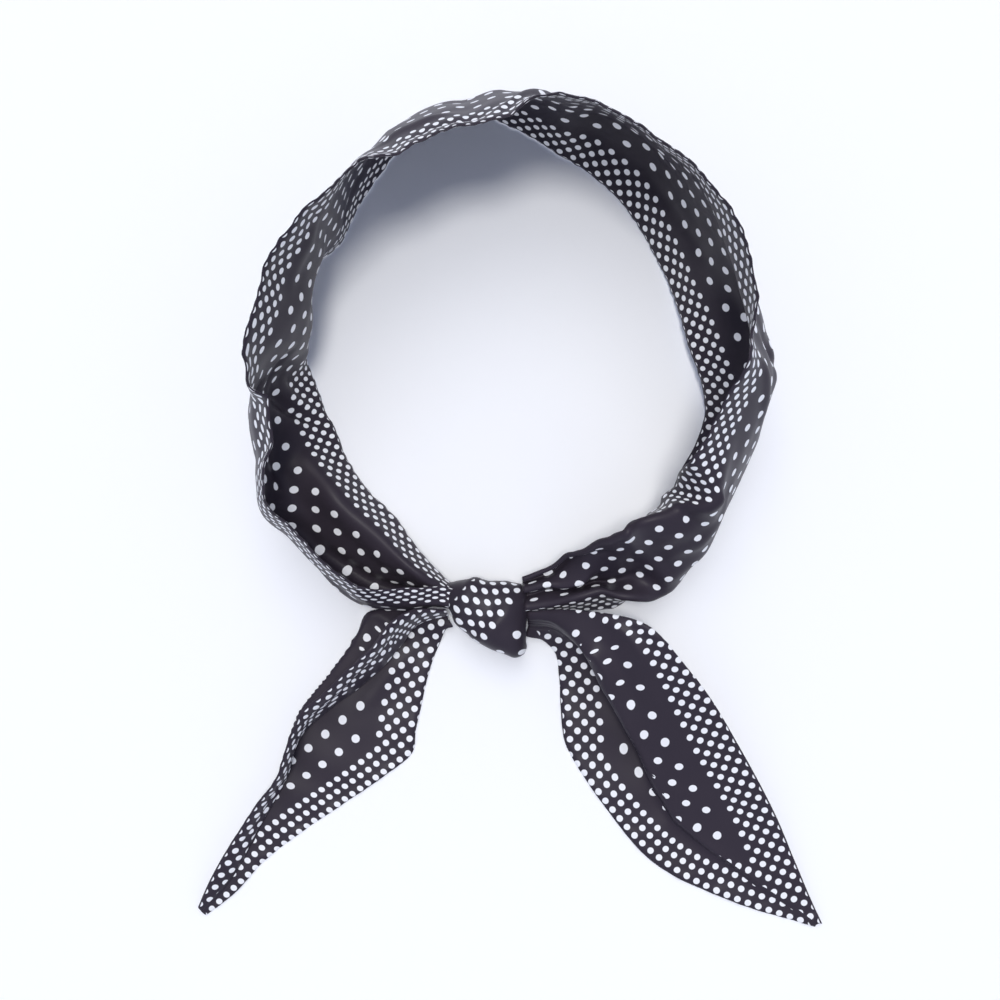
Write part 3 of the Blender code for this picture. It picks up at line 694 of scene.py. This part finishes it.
class Tree:
    """A material's node tree, with one method that makes any node."""

    def __init__(self, name):
        self.material = bpy.data.materials.new(name)
        self.material.use_nodes = True
        self.tree = self.material.node_tree
        self.shader = self.tree.nodes["Principled BSDF"]

    @staticmethod
    def put(tree, socket, value):
        """Link a value to the socket, or set it there if it is a constant."""
        if isinstance(value, Val):
            tree.links.new(value.socket, socket)
        else:
            socket.default_value = value

    @staticmethod
    def node_of(tree, kind, settings, inputs, output=0):
        """A node of that kind with its settings and inputs, as the value of one output."""
        node = tree.nodes.new(kind)
        for key, value in settings.items():
            setattr(node, key, value)
        for key, value in inputs.items():
            Tree.put(tree, node.inputs[key], value)
        return Val(tree, node.outputs[output])

    def node(self, kind, settings, inputs, output=0):
        """A node in this material."""
        return Tree.node_of(self.tree, kind, settings, inputs, output)

    def mix(self, factor, a, b):
        """Colour a at factor 0, b at factor 1."""
        return self.node("ShaderNodeMix", {"data_type": "RGBA"}, {0: factor, 6: a, 7: b}, 2)

    def attribute(self, name):
        """A number stored on the mesh."""
        return self.node("ShaderNodeAttribute", {"attribute_name": name}, {}, 2)

    def vector(self, x, y):
        """Two numbers as a vector with no height."""
        return self.node("ShaderNodeCombineXYZ", {}, {0: x, 1: y, 2: 0.0})

    def noise(self, vector, scale, detail, roughness):
        """Noise at a place, about 0.5."""
        return self.node("ShaderNodeTexNoise", {"noise_dimensions": "3D"},
                         {"Vector": vector, "Scale": scale, "Detail": detail, "Roughness": roughness})

    def feed(self, **sockets):
        """Values and constants for the shader's sockets."""
        for key, value in sockets.items():
            Tree.put(self.tree, self.shader.inputs[key.replace("_", " ")], value)


def shade(colour, strength):
    """The colour times a number, with full alpha."""
    return tuple(strength * part for part in colour) + (1.0,)


def phase_of_cut(length):
    """Slide of the print that puts its outermost row of dots just inside the slanted end."""
    repeat = 4.0 * bpy.context.scene.ribbon_cloth.pitch
    return (0.5 * FIRST_ROW * repeat - length) % repeat


def nearest_dot(s, t, c):
    """Distance to the nearest dot of a lattice with columns c apart; its column and slanted row."""
    p = (t + s) / (2.0 * c)
    q = (t - s) / (2.0 * c)
    p_dot = p.math("ROUND")
    q_dot = q.math("ROUND")
    dp = p - p_dot
    dq = q - q_dot
    far = (dp * dp + dq * dq).math("SQRT") * (c * math.sqrt(2.0))
    return far, p_dot + q_dot, p_dot


def satin(name, cut_at=NO_CUT, shift=0.0):
    """Dark satin with the dotted print.

    cut_at: s + t at the slanted end.  shift: slides the print along the ribbon.
    """
    look = bpy.context.scene.ribbon_cloth
    tree = Tree(name)
    c = look.pitch
    s = tree.attribute("cloth_along") + shift
    t = tree.attribute("cloth_across")
    cut = cut_at + shift
    # border: every point of the lattice, beside the hems and along the cut
    far, column, slanted_row = nearest_dot(s, t, c)
    from_middle = (column - MIDDLE_COLUMN).math("ABSOLUTE")
    to_cut = cut / (2.0 * c) - slanted_row
    border = from_middle.above(BORDER_FROM).math("MAXIMUM", to_cut.below(BORDER_ROWS))
    border = border * to_cut.above(CUT_CLEAR)
    small = ((look.small_dot - far) / DOT_BLUR + 0.5).clamp() * border
    # field: bigger dots at twice the pitch, kept off the border
    field_at = FIELD_COLUMN * c
    wide, wide_column, wide_row = nearest_dot(s, t - field_at, 2.0 * c)
    to_cut = (cut - field_at) / (4.0 * c) - wide_row
    middle = (MIDDLE_COLUMN - FIELD_COLUMN) / 2.0
    inside = (wide_column - middle).math("ABSOLUTE").below(FIELD_WITHIN) * to_cut.above(FIELD_ROWS)
    big = ((look.big_dot - wide) / DOT_BLUR + 0.5).clamp() * inside
    to_hem = (t - HEM_CLEAR).math("MINIMUM", RIBBON_WIDTH - HEM_CLEAR - t)
    dots = small.math("MAXIMUM", big) * (to_hem / HEM_BLUR + 0.5).clamp()
    dots = dots * tree.attribute("cloth_shown").above(0.9)      # none on the hidden slack
    # fine weave of the satin, floats running along the ribbon
    thread = tree.noise(tree.vector(s * 0.9, t * 6.0), scale=1.2, detail=3.0, roughness=0.6)
    cloud = tree.noise(tree.vector(s, t), scale=0.045, detail=2.0, roughness=0.5)
    ground = tree.mix(cloud, shade(look.cloth, DEEP), shade(look.cloth, PALE))
    ground = tree.mix((thread - 0.5) * 0.5 + 0.3, ground, shade(look.cloth, GLINT))
    paint = tree.mix((thread - 0.5) * 0.35 + 0.12, shade(look.dots, 1.0), WORN_PAINT)
    height = thread * THREAD_HEIGHT + dots * DOT_HEIGHT
    bump = tree.node("ShaderNodeBump", {}, {"Strength": 0.35, "Distance": 0.001, "Height": height})
    tree.feed(Base_Color=tree.mix(dots, ground, paint),
              Roughness=(thread - 0.5) * 0.16 + look.roughness + dots * 0.12,
              Normal=bump,
              Emission_Color=tree.mix(dots, NO_GLOW, DOT_GLOW))
    tree.feed(Metallic=0.0, Specular_IOR_Level=0.14, Emission_Strength=1.0, Sheen_Weight=0.015,
              Sheen_Roughness=0.38, Sheen_Tint=SHEEN_COLOUR)
    return tree.material


# ---------------------------------------------------------------- operators
class RIBBON_OT_ring(Operator):
    """Build the ribbon's long stretch round the ring, from knot to knot"""
    bl_idname = "ribbon.ring"
    bl_label = "Ring"

    def execute(self, context):
        rows = RING_ROWS
        bearings = np.linspace(RING_FROM, RING_TO, rows)
        grid = ring_sections(bearings, RING_COLUMNS)
        s = ring_flat(grid)
        t = np.repeat(np.linspace(0.0, RIBBON_WIDTH, RING_COLUMNS + 1)[None], rows, axis=0)
        edge = np.minimum(t, RIBBON_WIDTH - t)
        along = np.radians(bearings)[:, None] * RING_RADIUS + 0.0 * t
        per_degree = math.radians(RING_RADIUS)
        creases = [(a * per_degree, b, c * per_degree, d, e, f) for a, b, c, d, e, f in RING_CREASES]
        grid = creased(grid, along, t, edge, creases)
        obj = cloth_shell("ribbon_ring", grid, s, t, edge, satin("satin ring"))
        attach(obj, "root")
        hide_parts("ring_lower_left", "ring_left", "ring_top", "ring_upper_right",
                    "ring_lower_right", "gather_left", "gather_right")
        length = float(s.mean(axis=1)[-1] - s.mean(axis=1)[0]) / 1000.0
        return {"FINISHED"}


class RIBBON_OT_tails(Operator):
    """Build the two tails with their slanted ends"""
    bl_idname = "ribbon.tails"
    bl_label = "Tails"

    def execute(self, context):
        rows = TAIL_ROWS
        # side, table, corner's row, hidden layer's corners, creases, width turned under
        jobs = (("left", TAIL_LEFT, LEFT_CORNER_ROW, (2, 3), LEFT_TAIL_CREASES, 0.0),
                ("right", TAIL_RIGHT, RIGHT_CORNER_ROW, (1, 2), RIGHT_TAIL_CREASES, TURNED_UNDER))
        for side, table, corner, hidden, creases, turned in jobs:
            flap = side == "left"
            grid, place, layer = tail_sections(table, TAIL_COLUMNS, rows, hidden)
            s, t, length, shown = tail_flat(grid, place, corner, layer, flap, turned)
            arc = arc_across(grid)
            edge = np.minimum(arc, arc[:, -1:] - arc)
            grid = creased(grid, s, t, edge, creases)
            if flap:            # turned over, so that the upper face comes first
                grid, s, t, edge, shown = (part[:, ::-1] for part in (grid, s, t, edge, shown))
            obj = cloth_shell("ribbon_tail_" + side, grid, s, t, edge,
                              satin("satin tail " + side, cut_at=length,
                                    shift=phase_of_cut(length)), shown=shown)
            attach(obj, "root")
            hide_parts("tail_" + side, "tail_" + side + "_gather")
            area = TAIL_AREA * (length * RIBBON_WIDTH - RIBBON_WIDTH ** 2 / 2) / 1.0e6
            length / 1000.0
        return {"FINISHED"}


class RIBBON_OT_knot(Operator):
    """Build the turn of ribbon round the knot"""
    bl_idname = "ribbon.knot"
    bl_label = "Knot"

    def execute(self, context):
        key = np.arange(len(KNOT), dtype=float)
        loops = flow(np.linspace(0, key[-1], KNOT_ROWS), np.column_stack([key, np.array(KNOT)]))
        x, far_y, near_y, top = (loops[:, k:k + 1] for k in range(4))
        angle = np.linspace(-0.5 * np.pi, 1.5 * np.pi, KNOT_POINTS)
        power = 2.0 / KNOT_SQUARENESS
        wide = np.sign(np.cos(angle)) * np.abs(np.cos(angle)) ** power
        high = np.sign(np.sin(angle)) * np.abs(np.sin(angle)) ** power
        y = (far_y + near_y) / 2 + wide[None] * (far_y - near_y) / 2
        z = top / 2 + high[None] * (top / 2 - KNOT_LIFT)
        grid = from_knot(np.stack([np.repeat(x, KNOT_POINTS, axis=1), y, z], -1))
        across = arc_across(grid.swapaxes(0, 1)).T
        around = arc_across(grid)
        around = around - around[:, KNOT_POINTS // 2:KNOT_POINTS // 2 + 1]
        lean = math.radians(KNOT_LEAN)
        beside = (grid[..., 0] + KNOT_SHIFT) * KNOT_PRINT
        down = around * KNOT_PRINT
        t = KNOT_BORDER + beside * math.cos(lean) + down * math.sin(lean)
        s = down * math.cos(lean) - beside * math.sin(lean)
        edge = np.minimum(across, across[-1:] - across) + KNOT_EDGE
        grid = creased(grid, s, t, edge, KNOT_CREASES)
        obj = cloth_shell("ribbon_knot", grid, s, t, edge, satin("satin knot"), lift=0.0)
        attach(obj, "root")
        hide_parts("knot_wrap")
        return {"FINISHED"}


def soft_light(name, strength, tilt, softness, turn=0.0):
    """A soft light tilted from straight above towards the far side; angles in degrees."""
    light = bpy.data.lights.new(name, "SUN")
    light.energy = strength
    light.color = LAMP_COLOUR
    light.angle = math.radians(softness)
    obj = bpy.data.objects.new(name, light)
    obj.rotation_euler = (math.radians(-tilt), 0.0, math.radians(turn))
    obj.location = LAMP_AT
    bpy.context.scene.collection.objects.link(obj)


class RIBBON_OT_stage(Operator):
    """Build the pale table, the soft light and the camera straight above"""
    bl_idname = "ribbon.stage"
    bl_label = "Table, light and camera"

    def execute(self, context):
        look = context.scene.ribbon_stage
        mesh = bpy.data.meshes.new("table")
        r = TABLE_HALF
        mesh.from_pydata([(-r, -r, 0), (r, -r, 0), (r, r, 0), (-r, r, 0)], [], [(0, 1, 2, 3)])
        table = bpy.data.objects.new("table", mesh)
        table.location.z = -TABLE_DROP
        context.scene.collection.objects.link(table)
        tree = Tree("matt white table")
        tree.feed(Base_Color=tuple(look.table) + (1.0,), Roughness=0.7)
        mesh.materials.append(tree.material)

        world = bpy.data.worlds.new("soft room")
        world.use_nodes = True
        room = world.node_tree.nodes["Background"]
        room.inputs["Color"].default_value = ROOM_COLOUR
        room.inputs["Strength"].default_value = look.room
        context.scene.world = world
        soft_light("far softbox", look.softbox, tilt=31.0, softness=38.0, turn=5.0)
        soft_light("overhead fill", look.overhead, tilt=4.0, softness=14.0)

        camera = bpy.data.cameras.new("camera")
        camera.sensor_width = 36.0
        camera.lens = camera.sensor_width * look.camera_height * 1000.0 / PHOTO_WIDTH
        obj = bpy.data.objects.new("camera", camera)
        obj.location = ((RING_AT[0] - KNOT_SHIFT) / 1000.0, (RING_AT[1] - KNOT_DROP) / 1000.0,
                        look.camera_height)
        context.scene.collection.objects.link(obj)
        context.scene.camera = obj
        context.scene.view_settings.view_transform = "Standard"
        return {"FINISHED"}


class RIBBON_PT_panel(Panel):
    """The scarf's pieces and finishes in the sidebar"""
    bl_idname = "RIBBON_PT_panel"
    bl_label = "Ribbon Scarf"
    bl_space_type = "VIEW_3D"
    bl_region_type = "UI"
    bl_category = "Ribbon Scarf"

    def draw(self, context):
        for group in (context.scene.ribbon_cloth, context.scene.ribbon_stage):
            box = self.layout.box()
            for name in group.__annotations__:
                box.prop(group, name)
        for step in STEPS:
            self.layout.operator(step.bl_idname)


STEPS = (RIBBON_OT_stage, RIBBON_OT_ring, RIBBON_OT_tails, RIBBON_OT_knot)
CLASSES = (RIBBON_PG_cloth, RIBBON_PG_stage) + STEPS + (RIBBON_PT_panel,)


def register():
    """Register the classes and the scene's settings."""
    for cls in CLASSES:
        bpy.utils.register_class(cls)
    bpy.types.Scene.ribbon_cloth = PointerProperty(type=RIBBON_PG_cloth)
    bpy.types.Scene.ribbon_stage = PointerProperty(type=RIBBON_PG_stage)


def unregister():
    """Take the settings and the classes away again."""
    del bpy.types.Scene.ribbon_cloth
    del bpy.types.Scene.ribbon_stage
    for cls in reversed(CLASSES):
        bpy.utils.unregister_class(cls)


def main():
    """Build the stage and the pieces."""
    register()
    bpy.ops.ribbon.stage()
    bpy.ops.ribbon.ring()
    bpy.ops.ribbon.tails()
    bpy.ops.ribbon.knot()


if __name__ == "__main__":
    main()
